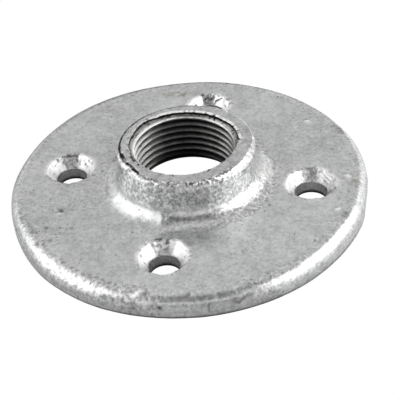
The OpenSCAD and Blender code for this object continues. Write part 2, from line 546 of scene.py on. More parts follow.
disp = cast * (0.045 * gnoise(V, 11.0, 1) + 0.026 * gnoise(V, 4.6, 2) + 0.014 * gnoise(V, 2.2, 3)
               + 0.006 * gnoise(V, 1.1, 4))
disp += near_hub * cast * 0.020 * gnoise(V, 1.7, 5)
wall = (Z == HUB) * smooth(9.0, 11.0, V[:, 2])
grit = grit + 0.8 * wall
disp += wall * (0.026 * gnoise(V, 1.5, 17) + 0.016 * gnoise(V, 0.9, 18))
foot_l = (Z == HUB) * (V[:, 2] < 9.5) * sector(-170 + 13.7, -110 + 13.7, 4)
grit = grit * (1 - 0.45 * foot_l)
mottle = 0.9 * wall * (1 - 0.6 * sector(-62 + 13.7, 30 + 13.7, 12)) + 0.35 * (Z == HUB) * (1 - 0.7 * foot_l) + 0.27 * (Z == RIMZ) + 0.35 * (Z == TOP) + 0.10 * (Z == PLATE) + 0.12 * near_hub + 0.6 * (Z == SINK) + 0.30 * patchy + 0.40 * (Z == HUB) * sector(-75 + 13.7, -10 + 13.7, 8) * (V[:, 2] < 10.5)
disp += (Z == SINK) * (0.06 * gnoise(V, 2.6, 15) + 0.020 * gnoise(V, 1.2, 16))
pit = pits(V, 3.8, 0.30, 0.30, 0.62, 9) * (cast > 0.7) * (Z != SINK)
pit = pit * (1 - 0.85 * foot_l)
disp -= 0.08 * pit * np.clip(cast, 0, 1)
dirt_and_shade = 0.40 * smooth(0.2, 0.8, pit)

# where dark specks gather: round the fillet, at the two ends of the rim's bright
# bands, along the plate's edge and on the countersinks' far walls
ra = np.radians(az)
onrim = (Z == RIMZ) * (V[:, 2] > 1.2)
speck = 0.30 * skin + 0.35 * near_hub
speck = speck + onrim * (0.75 * sector(-112, -88, 8) + 0.45 * sector(-62, -40, 8) + 0.35 * sector(-140, -112, 8))
speck = speck + 0.55 * (Z == PLATE) * np.exp(-((rad - 41.0) / 1.6) ** 2) * (0.6 + 0.8 * ring(ra, 25, 51))
speck = speck + 0.70 * (Z == SINK) + 0.35 * (Z == TOP) + 0.25 * (Z == HUB) - 0.45 * foot_l
speck = speck + 0.75 * np.exp(-(((V[:, 0] + 29.0) / 5.5) ** 2 + ((V[:, 1] + 25.0) / 4.0) ** 2)) * (Z == PLATE)
speck = np.clip(speck, 0, 1.5)

# screw holes: painted shade, darker towards the foot of each drilled wall, and the drill's chatter in the right-hand
# one
for c in hole_axis:
    hr = np.hypot(V[:, 0] - c[0], V[:, 1] - c[1])
    drilled = (Z == DRILL) & (hr < 5.0)
    dirt_and_shade = np.where(drilled, np.maximum(dirt_and_shade, 0.15 + 0.85 * (1 - smooth(0.40, 1.35, V[:, 2]))), dirt_and_shade)
c = hole_axis[0]
dx, dy = V[:, 0] - c[0], V[:, 1] - c[1]
far = (Z == SINK) & (np.hypot(dx, dy) < 7.5)
chat = np.sin(TAU * (0.80 * dx + 0.60 * dy + 0.5 * V[:, 2]) / 0.95 + 1.5 * gnoise(V, 2.5, 61))
disp += far * smooth(-1.0, 3.0, dy) * 0.05 * chat

# hub's upper edge: a thin line of painted shade round its back, and a ragged groove where the facing cut ended, with
# painted shade in it; beads of zinc outside it
va = (az - math.degrees(TURN) + 180.0) % 360.0 - 180.0       # azimuth from the viewer's right


def ringed(*table):
    t, v = zip(*table)
    return np.interp(va, t, v, period=360.0)


edge_zone = (Z == TOP) | ((Z == HUB) & (V[:, 2] > H - 2.2))
level = np.exp(-((V[:, 2] - H) / 0.38) ** 2) * edge_zone
line_r = 15.95 + 0.07 * ring(ra, 9, 31) + 0.06 * ring(ra, 3, 32)
back = ringed((-180, 1), (-172, 0.8), (-160, 0), (60, 0), (85, 0.5), (100, 1), (179, 1))
thin = (1 - smooth(0.26, 0.48, np.abs(rad - line_r))) * level * back * np.clip(0.95 + 0.6 * ring(ra, 5, 33), 0.3, 1.1)
gr_r = ringed((-180, 15.80), (-165, 15.45), (-150, 15.25), (-141, 15.35), (-133, 15.95), (-120, 16.05), (-100, 16.3))
gr_r = gr_r + 0.20 * ring(ra, 6, 35) + 0.16 * ring(ra, 2.4, 36)
left = ringed((-180, 0.6), (-172, 1), (-135, 1), (-122, 0.8), (-112, 0), (160, 0), (175, 0.3))
groove = (1 - smooth(0.36, 0.66, np.abs(rad - gr_r))) * level * left * np.clip(1.05 + 1.3 * ring(ra, 5, 34), 0.25, 1.2)
disp -= 0.22 * thin + 0.34 * groove
# painted shade along the thin line and in the groove
dirt_and_shade = np.maximum(dirt_and_shade, np.clip(1.1 * thin + 1.3 * groove * (0.75 + 0.8 * gnoise(V, 0.8, 37)), 0, 1))
# torn skin over the front edge: pits and flakes side by side, with painted shade in the pits and painted highlights on
# the flakes
edge_r = ringed((-180, 15.95), (-120, 16.0), (-100, 16.15), (-85, 16.3), (-70, 16.4), (-56, 16.1), (-40, 16.0))
front_s = ringed((-180, 0), (-122, 0), (-112, 0.8), (-100, 1), (-75, 1), (-66, 1), (-56, 0.8), (-46, 0.45), (-37, 0), (180, 0))
torn = (1 - smooth(0.45, 0.85, np.abs(rad - edge_r))) * (1 - smooth(0.7, 1.1, H - V[:, 2])) * edge_zone * front_s
drop = ringed((-180, 0), (-72, 0), (-62, 0.9), (-50, 0.9), (-42, 0), (180, 0)) * smooth(-0.15, 0.25, gnoise(V, 2.2, 39))
torn = np.maximum(torn, 0.9 * drop * (Z == HUB) * (1 - smooth(1.5, 2.4, H - V[:, 2])))
flake = gnoise(V, 0.72, 45) + 0.6 * gnoise(V, 0.45, 46)
disp += torn * (0.14 * flake + 0.10 * gnoise(V, 1.2, 42))
dirt_and_shade = np.maximum(dirt_and_shade, 0.85 * torn * smooth(0.10, 0.34, -flake))
burr_and_highlight = torn * smooth(0.20, 0.45, flake)
# painted highlights on both sides of each countersink, where the side lamps reflect, and flecks of painted shade and
# painted highlight along the top of its far wall
for q, c in enumerate(hole_axis):
    dx, dy = V[:, 0] - c[0], V[:, 1] - c[1]
    side = np.abs((np.degrees(np.arctan2(dy, dx) - TURN) - 90.0 + 180.0) % 360.0 - 180.0) + 14 * gnoise(V, 1.6, 81 + q)
    side_highlight = smooth(18.0, 34.0, side) * (1 - smooth(100.0, 118.0, side)) * (Z == SINK) * (np.hypot(dx, dy) < 7.5)
    curls = gnoise(V, 1.0, 131 + q) + 0.7 * gnoise(V, 0.6, 141 + q)
    sink = (Z == SINK) * (np.hypot(dx, dy) < 7.5)
    upper = sink * smooth(T - 2.4, T - 1.0, V[:, 2]) * (1 - smooth(40.0, 62.0, side)) + 0.6 * side_highlight
    upper = upper * (0.35, 0.9, 0.6, 1.0)[q]
    burr_and_highlight = np.maximum(burr_and_highlight, 0.75 * side_highlight * (1 - 0.8 * smooth(0.35, 0.60, curls)))
    burr_and_highlight = np.maximum(burr_and_highlight, np.clip(upper, 0, 1) * smooth(0.30, 0.55, -curls))
    dirt_and_shade = np.maximum(dirt_and_shade, np.clip(upper, 0, 1) * smooth(0.20, 0.40, curls))
    disp += upper * 0.06 * curls
    mottle = mottle * (1 - 0.8 * side_highlight)
    speck = speck - 0.5 * side_highlight
# beads of zinc hang outside the groove on the left, with painted highlights on them and painted shadows between them
outside = rad - gr_r + 0.8 * np.clip(H - V[:, 2], 0, 1.2)
lip = (1 - smooth(0.9, 1.7, H - V[:, 2])) * smooth(0.30, 0.60, outside) * edge_zone
beads = smooth(-0.42, 0.05, gnoise(V, 1.6, 41) + 0.5 * gnoise(V, 0.8, 44))
hang = ringed((-180, 0), (-172, 0.6), (-165, 1), (-112, 1), (-102, 0.3), (-95, 0), (180, 0))
disp += lip * hang * (0.38 * beads - 0.10 + 0.10 * gnoise(V, 1.0, 48))
burr_and_highlight = np.maximum(burr_and_highlight, np.clip(1.3 * lip * hang, 0, 1) * beads)
dirt_and_shade = np.maximum(dirt_and_shade, 0.7 * lip * hang * smooth(0.30, 0.55, -gnoise(V, 0.9, 47)))
right_lip = ringed((-75, 0), (-62, 1), (20, 1), (45, 0))
disp += np.exp(-((V[:, 2] - (H - 0.8)) / 0.9) ** 2) * (rad > 15.4) * edge_zone * right_lip * (0.06 * gnoise(V, 1.1, 43) + 0.03 * gnoise(V, 0.6, 48))
# a cast ridge on the fillet: it rises slowly from the left and breaks off where the crease starts
ridge = np.where(va < -110.0, smooth(-122.0, -110.0, va), 1 - smooth(-110.0, -108.2, va))
disp += 0.07 * ridge * (1 - smooth(0.5, 1.3, np.abs(rad - 19.2))) * (Z == HUB) * (V[:, 2] < 10.0)
# a shallow crease along the front of the fillet, with painted shade in it
crease_r = 18.25 + 0.15 * ring(ra, 9, 55) + 0.10 * ring(ra, 3, 56)
crease = (1 - smooth(0.20, 0.70, np.abs(rad - crease_r) + 0.30 * gnoise(V, 0.8, 58))) * (Z == HUB) * (V[:, 2] < 9.5)
crease = crease * ringed((-180, 0), (-112, 0), (-109, 0.7), (-105, 1), (-92, 1), (-82, 0.8), (-75, 0.4), (-68, 0), (180, 0))
disp -= 0.10 * crease
dirt_and_shade = np.maximum(dirt_and_shade, crease * np.clip(0.36 + 0.42 * gnoise(V, 0.9, 57), 0, 0.7))
# painted highlights: lighter bands along the front of the hub and on the plate at its foot; painted shade: a darker
# band between them; and a painted light patch and a painted dark patch further right
front_w = ringed((-180, 0), (-122, 0), (-110, 0.7), (-97, 1), (-84, 1), (-68, 0.5), (-52, 0), (180, 0))
broken = np.clip(0.6 + 0.9 * gnoise(V, 1.3, 53), 0, 1)
highlight_bands = 0.55 * np.exp(-((V[:, 2] - 15.3) / 0.5) ** 2) + 0.40 * np.exp(-((V[:, 2] - 8.5) / 0.5) ** 2) * (rad < 18.3)
burr_and_highlight = np.maximum(burr_and_highlight, highlight_bands * front_w * broken * (Z == HUB))
burr_and_highlight = np.maximum(burr_and_highlight, 0.32 * front_w * np.exp(-((rad - 20.2) / 1.3) ** 2) * broken * ((Z == HUB) | (Z == PLATE)))
dirt_and_shade = np.maximum(dirt_and_shade, 0.07 * front_w * np.exp(-((V[:, 2] - 11.3) / 1.2) ** 2) * (Z == HUB))
burr_and_highlight = np.maximum(burr_and_highlight, 0.26 * np.exp(-((va + 76.0) / 6.0) ** 2 - ((V[:, 2] - 13.2) / 2.0) ** 2) * (Z == HUB))
dirt_and_shade = np.maximum(dirt_and_shade, 0.14 * np.exp(-((va + 87.0) / 8.0) ** 2 - ((V[:, 2] - 11.0) / 1.3) ** 2) * (Z == HUB))
# a painted highlight in a broken ring round the mouth, and ragged painted shade at its edge
mouth_r = np.interp(ra % TAU, phi, mouth, period=TAU)
curl_weight = ringed((-180, 0.25), (-160, 0.05), (-100, 0.0), (-20, 0.0), (-8, 0.3), (2, 0.9), (25, 1), (60, 1), (80, 0.9), (110, 0.9), (135, 0.5), (160, 0.4))
curl = (1 - smooth(0.26, 0.50, np.abs(rad - mouth_r - 0.28 - 0.10 * ring(ra, 4, 26)))) * (Z == TOP) * curl_weight
curl = curl * smooth(-0.55, -0.15, ring(ra, 9, 29) + 0.5 * ring(ra, 4, 28))
burr_and_highlight = np.maximum(burr_and_highlight, curl)
chips = (1 - smooth(0.30, 0.60, np.abs(rad - mouth_r - 0.20))) * (Z == TOP)
ragged = ringed((-180, 0.26), (-150, 0.20), (-130, 0.05), (-120, -0.2), (-30, -0.2), (0, 0.05), (60, 0.05), (100, 0.10), (150, 0.18))
dirt_and_shade = np.maximum(dirt_and_shade, chips * smooth(0.22, 0.42, gnoise(V, 0.9, 49) + ragged))

# the rim: dross at the front left, with patches of painted highlight and painted shade on its shoulder, a ragged dark
# line where the rounding starts, and painted shade low on the front left
dross = (Z == RIMZ) * smooth(2.4, 3.6, V[:, 2]) * ringed((-180, 0.15), (-150, 0.35), (-138, 0.8), (-126, 1), (-108, 1), (-101, 0.5), (-95, 0.1),
                                                         (-85, 0.1), (-75, 0.5), (-66, 0.6), (-58, 0.25), (-30, 0.15), (0, 0.1))
mottle = mottle + 0.55 * dross
disp += dross * (0.026 * gnoise(V, 1.5, 91) + 0.022 * gnoise(V, 0.8, 92))
shoulder = dross * smooth(3.4, 4.4, V[:, 2]) * (1 - smooth(5.8, 6.15, V[:, 2])) * ringed((-180, 0), (-150, 0.3), (-138, 0.9), (-106, 0.9), (-100, 0), (180, 0))
clot = gnoise(V, 0.9, 97) + 0.7 * gnoise(V, 0.55, 98)
burr_and_highlight = np.maximum(burr_and_highlight, shoulder * smooth(-0.05, 0.25, clot))
disp += 0.05 * shoulder * clot
dirt_and_shade = np.maximum(dirt_and_shade, 0.40 * shoulder * smooth(0.34, 0.60, -clot))
rag = gnoise(V, 0.95, 93) + 0.6 * gnoise(V, 0.6, 94)
seam = 1 - smooth(0.20, 0.60, np.abs(rad - ringed((-180, 41.2), (-165, 41.05), (-120, 41.05), (-100, 41.3), (-45, 41.3), (-22, 41.8), (0, 42.5), (15, 42.8), (30, 42.9), (45, 42.5), (60, 41.9), (85, 41.4)) - 0.30 * ring(ra, 8, 95)))
seam = seam * (V[:, 2] > 5.0) * ((Z == PLATE) | (Z == RIMZ))
seam = seam * ringed((-180, 0.4), (-165, 0.5), (-150, 0.9), (-125, 0.9), (-108, 0.5), (-100, 0.1), (-80, 0.1), (-72, 0.6), (-60, 0.6), (-45, 0.5), (-20, 0.5),
                     (-5, 0.3), (10, 0.4), (16, 1.0), (23, 1.0), (30, 0.3), (60, 0.1), (110, 0.1), (150, 0.3))
dirt_and_shade = np.maximum(dirt_and_shade, 0.60 * seam * smooth(0.10, 0.50, rag + ringed((-180, 0.0), (-160, 0.15), (-120, 0.15), (-105, 0.0), (-70, 0.0))))
shade = (Z == RIMZ) * np.exp(-((va + 110.0) / 3.2) ** 2 - ((V[:, 2] - 3.6) / 1.0) ** 2)
dirt_and_shade = np.maximum(dirt_and_shade, 0.5 * shade * smooth(-0.2, 0.4, gnoise(V, 1.1, 96)))

# single flaws: x, y, z, radius, depth, darkness (below zero: a raised bead with a painted highlight)
FLAWS = ((-28.2, -16.4, 6.2, 0.85, 0.28, 1.0), (-30.0, -23.0, 6.2, 0.55, 0.12, 0.85), (-24.0, -22.4, 6.2, 0.50, 0.10, 0.60),
         (-33.0, -24.8, 6.2, 0.50, 0.10, 0.75), (-30.9, -28.5, 6.2, 0.60, 0.14, 0.75), (-27.8, -27.2, 6.2, 0.50, 0.12, 0.60),
         (-26.1, -24.5, 6.2, 0.50, 0.10, 0.50), (-37.5, -10.4, 6.2, 0.70, 0.08, 0.35), (-36.7, -11.0, 6.2, 0.60, 0.08, 0.30),
         (34.2, 24.3, 6.1, 0.75, 0.14, 0.75), (35.3, 23.2, 6.1, 0.70, 0.14, 0.60), (36.3, 22.2, 6.0, 0.75, 0.14, 0.80),
         (40.3, -10.7, 6.1, 0.55, 0.12, 0.85), (40.0, -11.8, 6.1, 0.60, 0.12, 0.70), (15.3, 41.5, 5.8, 0.80, 0.15, 0.60),
         (2.0, -44.3, 3.8, 0.75, 0.30, 1.0), (2.1, -44.0, 4.8, 0.55, -0.28, -1.0), (-28.2, -17.5, 6.2, 0.60, -0.22, -1.0),
         (-2.7, -42.1, 5.9, 0.80, -0.30, -1.0), (-1.3, -42.5, 5.8, 0.60, 0.16, 0.85),
         (39.1, 3.5, 6.2, 0.55, -0.32, -0.9), (39.7, 2.8, 6.2, 0.50, -0.32, -0.8), (38.1, -9.7, 6.2, 0.60, -0.42, -1.0),
         (27.0, 25.5, 6.2, 0.60, -0.42, -1.0), (17.3, 38.7, 6.2, 0.50, -0.14, -0.5), (24.6, 22.8, 6.2, 0.50, -0.12, -0.5),
         (29.2, 19.2, 6.2, 0.50, -0.12, -0.4), (-3.9, -39.6, 6.2, 0.60, -0.16, -0.4))
for fx0, fy0, fz0, fr, fd, dark in FLAWS:
    q = ((V[:, 0] - fx0) ** 2 + (V[:, 1] - fy0) ** 2 + (V[:, 2] - fz0) ** 2) / fr ** 2
    w = np.exp(-q) * ((Z == PLATE) | (Z == RIMZ))
    disp -= fd * w
    if dark > 0:
        dirt_and_shade = np.maximum(dirt_and_shade, dark * np.exp(-1.2 * q) * (w > 0))
    else:
        burr_and_highlight = np.maximum(burr_and_highlight, -dark * np.exp(-1.2 * q) * (w > 0))

# scratches: two ends (x, y, z), half width, darkness
SCRATCHES = (((-37.5, -20.0, 6.2), (-36.2, -18.6, 6.2), 0.25, 0.4), ((12.9, -42.5, 4.4), (12.8, -42.5, 2.3), 0.22, 0.5),
             ((6.6, -42.6, 5.5), (8.3, -41.8, 5.9), 0.22, 0.55), ((17.7, -40.7, 4.6), (19.1, -40.1, 3.2), 0.25, 0.6), ((19.1, -40.1, 3.2), (22.0, -38.4, 5.3), 0.25, 0.6))
for p0, p1, hw, dark in SCRATCHES:
    p0, p1 = np.array(p0), np.array(p1)
    along = np.clip(((V - p0) @ (p1 - p0)) / ((p1 - p0) @ (p1 - p0)), 0, 1)
    off = np.linalg.norm(V - p0 - along[:, None] * (p1 - p0), axis=1)
    w = (1 - smooth(hw, 2.2 * hw, off)) * ((Z == PLATE) | (Z == RIMZ))
    disp -= 0.06 * w
    dirt_and_shade = np.maximum(dirt_and_shade, dark * w)

# old stains, and patches of painted shade on the plate: x, y, half-sizes, weight
STAINS = ((-9.4, 35.6, 4.2, 1.5, 1.0), (-26.9, 27.5, 2.4, 1.2, 0.6), (41.5, 2.0, 1.2, 2.4, 0.8), (20.0, 2.0, 7.0, 6.0, 0.10))
stain = np.zeros(len(V))
for sx, sy, ax, ay, w in STAINS:
    stain = np.maximum(stain, w * np.exp(-((V[:, 0] - sx) / ax) ** 2 - ((V[:, 1] - sy) / ay) ** 2))
stain = stain * (Z != BOREZ) * np.clip(0.45 + 1.3 * gnoise(V, 1.3, 71), 0, 1)
PLATE_SHADE = ((8.0, -22.7, 3.0, 2.0, 0.30), (27.0, 15.0, 9.0, 8.0, 0.07), (6.0, -37.0, 9.0, 4.0, 0.07))
for sx, sy, ax, ay, w in PLATE_SHADE:
    q = np.exp(-((V[:, 0] - sx) / ax) ** 2 - ((V[:, 1] - sy) / ay) ** 2) * (Z == PLATE)
    dirt_and_shade = np.maximum(dirt_and_shade, w * q * np.clip(0.6 + 0.9 * gnoise(V, 1.3, 72), 0, 1))
# painted shade along the foot of the rim, darkest at the front
foot = (Z == RIMZ) * (1 - smooth(0.75, 1.40, V[:, 2])) * ringed((-180, 0.30), (-165, 0.35), (-150, 0.55), (-135, 0.75), (-118, 1.0), (-98, 1.0),
                                                                (-80, 0.85), (-65, 0.75), (-50, 0.5), (-30, 0.45), (-10, 0.35), (20, 0.3))
dirt_and_shade = np.maximum(dirt_and_shade, foot)
# painted shade on the far edge's rounding
brim = ringed((0, 5.60), (15, 5.82), (45, 5.82), (65, 5.60), (150, 5.60))
dirt_and_shade = np.maximum(dirt_and_shade, (Z == RIMZ) * (1 - smooth(brim, brim + 0.32, V[:, 2])) * ringed((-6, 0), (6, 0.2), (15, 0.40), (28, 0.55), (45, 0.6), (60, 0.6), (100, 0.6), (130, 0.6), (155, 0.6), (170, 0.35), (180, 0)))
# painted shade on the faced end, darker at the front
dirt_and_shade = np.maximum(dirt_and_shade, (Z == TOP) * ringed((-180, 0.07), (-130, 0.07), (-110, 0.13), (-60, 0.13), (-40, 0.09), (0, 0.07)))

V2 = V + N * disp[:, None]
rr = np.hypot(V2[:, 0], V2[:, 1])
over = np.maximum(rr / (R + outline(np.arctan2(V2[:, 1], V2[:, 0])) - 0.004), 1.0)
V2[:, 0] = np.clip(V2[:, 0] / over, 0.004 - R, R - 0.004)
V2[:, 1] = np.clip(V2[:, 1] / over, 0.004 - R, R - 0.004)
V2[:, 2] = np.clip(V2[:, 2], 0.0, H)
V2[Z == UNDER, 2] = np.minimum(V2[Z == UNDER, 2], 0.02)

# the thread: painted shade in its roots and under its crests, and painted highlights along its crests, both set by
# where the light falls
ph = (V[:, 2] - (Z0 - 6 * PITCH)) / PITCH - np.where(az < 0, az + 360.0, az) / 360.0
u = np.abs((ph + 0.5) % 1.0 - 0.5)
in_bore = (Z == BOREZ)
threaded = in_bore * (rad < 13.35 - (H - V[:, 2]) / 32.0) * (V[:, 2] > 2.6)
open_w = ringed((-180, 1.0), (-120, 0.6), (-60, 0.3), (-20, 0.3), (0, 0.45), (25, 0.5), (50, 0.3), (75, -0.1), (95, -0.35), (115, -0.2), (140, 1.0))
root = threaded * smooth(0.10 + 0.12 * open_w, 0.30 + 0.11 * open_w, u)
crest = threaded * (1 - smooth(0.06 + 0.05 * open_w, 0.13 + 0.08 * open_w, u))
lit = ringed((-180, 1.0), (-150, 0.7), (-120, 0.2), (-30, 0.1), (0, 0.08), (40, 0.05), (80, 0.0), (112, 0.05), (135, 0.6), (155, 1.0))
dirt_and_shade = np.maximum(dirt_and_shade, 0.99 * root * (1 - 0.85 * lit))
dirt_and_shade = np.maximum(dirt_and_shade, 0.99 * threaded * smooth(0.22, 0.34, u) * smooth(0.2, 0.7, lit))
burr_and_highlight = np.maximum(burr_and_highlight, crest * np.maximum(smooth(0.4, 0.8, lit), ringed((-20, 0.0), (0, 0.08), (25, 0.16), (55, 0.14), (80, 0.0))))
crest = np.clip(np.maximum(crest * (0.18 + 0.82 * lit), 0.44 * lit * threaded), 0, 1)
# painted shade deep in the bore, less on the lit side
dirt_and_shade = np.maximum(dirt_and_shade, in_bore * (1 - smooth(4.0, 6.2, V[:, 2])) * (1 - 0.4 * lit))
for ba, bz, br in ((150.4, 12.5, 0.75), (52.5, 12.0, 0.55), (45.6, 8.9, 0.6)):
    q = (np.radians(va - ba) * 12.4 / br) ** 2 + ((V[:, 2] - bz) / br) ** 2
    dirt_and_shade = np.maximum(dirt_and_shade, in_bore * np.exp(-q ** 2))
blot = pits(V, 2.2, 0.16, 0.25, 0.55, 63) * threaded
dirt_and_shade = np.maximum(dirt_and_shade, 0.9 * smooth(0.1, 0.5, blot))
# painted shade makes the mouth's wall black; the slope under it gets a painted highlight that brightens to a bright
# painted line along the first crest
line_w = ringed((-180, 1.0), (-140, 1.0), (-115, 0.9), (-95, 0.4), (-30, 0.15), (0, 0.10), (30, 0.14), (48, 0.28), (62, 0.6), (78, 0.95), (90, 1.0))
slope_highlight = ringed((-180, 0.26), (-140, 0.34), (-100, 0.25), (0, 0.16), (40, 0.12), (75, 0.08), (105, 0.10), (130, 0.20), (155, 0.28))
for q, ids in enumerate(loops[n_cut:n_cut + 4]):
    dirt_and_shade[ids] = (0.75, 1.0, 1.0, 0.9)[q]
    crest[ids] = 0.0
for x, ids in zip(LEAD, loops[n_cut + 4:]):
    mott = gnoise(V[ids], 0.9, 64)
    # painted shade on the slope at the back right
    slope_shade = ringed((-30, 0.0), (0, 0.22), (50, 0.22), (75, 0.0))[ids]
    dirt_and_shade[ids] = np.clip(0.55 * (1 - smooth(0.0, 0.30, x)) + 0.7 * smooth(0.15, 0.5, mott) * (x < 0.75) + slope_shade, 0, 1)
    crest[ids] = np.clip(slope_highlight[ids] + 0.30 * x * x + 0.18 * np.sin(TAU * 2.5 * x) * (1 - smooth(20.0, 45.0, np.abs(va[ids] - 18.0))), 0, 1)
    burr_and_highlight[ids] = line_w[ids] * smooth(0.55, 0.86, x) * np.clip(0.85 + 0.7 * gnoise(V[ids], 1.1, 65), 0.2, 1.0)

mesh = bpy.data.meshes.new("floor_flange_skin")
mesh.from_pydata([tuple(0.001 * p) for p in V2], [], [tuple(int(k) for k in f) for f in F])
mesh.polygons.foreach_set("material_index", np.array(FM, dtype=np.int32))
mesh.polygons.foreach_set("use_smooth", np.ones(len(F), dtype=bool))
for name, val in (("dirt_and_shade", dirt_and_shade), ("grit", grit), ("crest", crest), ("speck", speck), ("stain", stain), ("burr_and_highlight", burr_and_highlight), ("mottle", mottle)):
    at = mesh.attributes.new(name, "FLOAT", "POINT")
    at.data.foreach_set("value", np.asarray(val, dtype=np.float32))
mesh.update()
mesh.validate()
mesh.set_sharp_from_angle(angle=math.radians(48))
piece = bpy.data.objects.new("floor_flange_skin", mesh)
bpy.context.collection.objects.link(piece)
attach(piece, "root")
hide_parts("floor_flange")


# ----------------------------------------------------------------------------
# Materials
# ----------------------------------------------------------------------------
def new_material(name):
    m = bpy.data.materials.new(name)
    m.use_nodes = True
    nt = m.node_tree
    nt.nodes.clear()
    out = nt.nodes.new("ShaderNodeOutputMaterial")
    sh = nt.nodes.new("ShaderNodeBsdfPrincipled")
    nt.links.new(sh.outputs[0], out.inputs[0])
    return m, nt, sh


class Nodes:
    """Short helpers for building a node tree."""

    def __init__(self, nt):
        self.nt = nt

    def node(self, kind, **props):
        n = self.nt.nodes.new(kind)
        for k, v in props.items():
            setattr(n, k, v)
        return n

    def link(self, a, b):
        self.nt.links.new(a, b)

    def coords(self):
        return self.node("ShaderNodeTexCoord").outputs["Object"]

    def noise(self, co, scale, detail=2.0, rough=0.5, dist=0.0):
        n = self.node("ShaderNodeTexNoise")
        n.inputs["Scale"].default_value = scale
        n.inputs["Detail"].default_value = detail
        n.inputs["Roughness"].default_value = rough
        n.inputs["Distortion"].default_value = dist
        self.link(co, n.inputs["Vector"])
        return n.outputs["Fac"]

    def voronoi(self, co, scale, feature="F1"):
        n = self.node("ShaderNodeTexVoronoi", feature=feature)
        n.inputs["Scale"].default_value = scale
        self.link(co, n.inputs["Vector"])
        return n.outputs["Distance"]

    def remap(self, val, a, b, lo=0.0, hi=1.0):
        n = self.node("ShaderNodeMapRange", interpolation_type="SMOOTHSTEP")
        n.inputs["From Min"].default_value = a
        n.inputs["From Max"].default_value = b
        n.inputs["To Min"].default_value = lo
        n.inputs["To Max"].default_value = hi
        self.link(val, n.inputs["Value"])
        return n.outputs["Result"]

    def math(self, op, a, b=None):
        n = self.node("ShaderNodeMath", operation=op)
        for k, v in ((0, a), (1, b)):
            if v is None:
                continue
            if isinstance(v, (int, float)):
                n.inputs[k].default_value = v
            else:
                self.link(v, n.inputs[k])
        return n.outputs[0]

    def mix(self, fac, a, b):
        n = self.node("ShaderNodeMix", data_type="RGBA")
        if isinstance(fac, (int, float)):
            n.inputs["Factor"].default_value = fac
        else:
            self.link(fac, n.inputs["Factor"])
        for sock, v in ((n.inputs[6], a), (n.inputs[7], b)):
            if isinstance(v, tuple):
                sock.default_value = (*v, 1.0)
            else:
                self.link(v, sock)
        return n.outputs[2]

    def attr(self, name):
        return self.node("ShaderNodeAttribute", attribute_name=name).outputs["Fac"]

    def bump(self, height, strength, dist, normal=None):
        n = self.node("ShaderNodeBump")
        n.inputs["Strength"].default_value = strength
        n.inputs["Distance"].default_value = dist
        self.link(height, n.inputs["Height"])
        if normal is not None:
            self.link(normal, n.inputs["Normal"])
        return n.outputs["Normal"]


# zinc skin
zinc, nt, sh = new_material("zinc_skin")
k = Nodes(nt)
co = k.coords()
broad = k.noise(co, 90.0, 3.0, 0.55)
mid = k.noise(co, 380.0, 3.0, 0.6)
grain = k.noise(co, 950.0, 2.0, 0.6)
fine = k.noise(co, 2100.0, 1.5, 0.6)
spot = k.noise(co, 1250.0, 1.0, 0.5)
blend = k.math("ADD", k.math("ADD", k.math("MULTIPLY", fine, 0.14), k.math("MULTIPLY", grain, 0.34)),
               k.math("ADD", k.math("MULTIPLY", mid, 0.32), k.math("MULTIPLY", broad, 0.20)))
col = k.mix(k.remap(blend, 0.34, 0.66), (0.43, 0.44, 0.435), (0.71, 0.715, 0.715))
dark = k.remap(k.math("ADD", spot, k.math("MULTIPLY", k.attr("speck"), 0.12)), 0.72, 0.82, 0.0, 0.75)
col = k.mix(dark, col, (0.15, 0.15, 0.148))
patch = k.noise(co, 1300.0, 2.0, 0.6)
col = k.mix(k.math("MULTIPLY", k.remap(patch, 0.50, 0.36), k.attr("mottle")), col, (0.35, 0.35, 0.347))
col = k.mix(k.math("MULTIPLY", k.remap(patch, 0.52, 0.64), k.attr("mottle")), col, (0.86, 0.865, 0.86))
col = k.mix(k.math("MULTIPLY", k.attr("stain"), 0.85), col, (0.20, 0.18, 0.11))
# painted shade and dirt darken the colour to near black; burrs and painted highlights lighten it to near white
col = k.mix(k.attr("dirt_and_shade"), col, (0.014, 0.0135, 0.013))
col = k.mix(k.attr("burr_and_highlight"), col, (0.96, 0.96, 0.955))
k.link(col, sh.inputs["Base Color"])
k.link(k.math("MULTIPLY", k.remap(k.attr("burr_and_highlight"), 0.0, 1.0, 0.78, 0.66), k.remap(k.attr("dirt_and_shade"), 0.2, 1.0, 1.0, 0.1)), sh.inputs["Metallic"])
sh.inputs["Specular IOR Level"].default_value = 0.10
rough = k.math("ADD", k.remap(broad, 0.3, 0.7, 0.25, 0.32), k.remap(grain, 0.3, 0.7, -0.04, 0.06))
rough = k.math("ADD", rough, k.math("MULTIPLY", k.attr("burr_and_highlight"), 0.08))
k.link(rough, sh.inputs["Roughness"])
height = k.math("ADD", k.math("ADD", k.math("MULTIPLY", fine, 0.25), k.math("MULTIPLY", grain, 0.65)), k.math("MULTIPLY", mid, 1.5))
b1 = k.bump(k.math("MULTIPLY", height, k.attr("grit")), 1.0, 0.00007)
k.link(b1, sh.inputs["Normal"])

# cut thread
cut, nt, sh = new_material("cut_thread")
k = Nodes(nt)
co = k.coords()
n1 = k.noise(co, 500.0, 3.0, 0.6)
n2 = k.noise(co, 2200.0, 2.0, 0.6)
col = k.mix(k.remap(n1, 0.35, 0.7), (0.15, 0.148, 0.145), (0.27, 0.265, 0.26))
# painted highlights on the crests and on the mouth's slope
col = k.mix(k.attr("crest"), col, (0.90, 0.895, 0.885))
col = k.mix(k.remap(n2, 0.55, 0.75, 0.0, 0.5), col, (0.10, 0.10, 0.10))
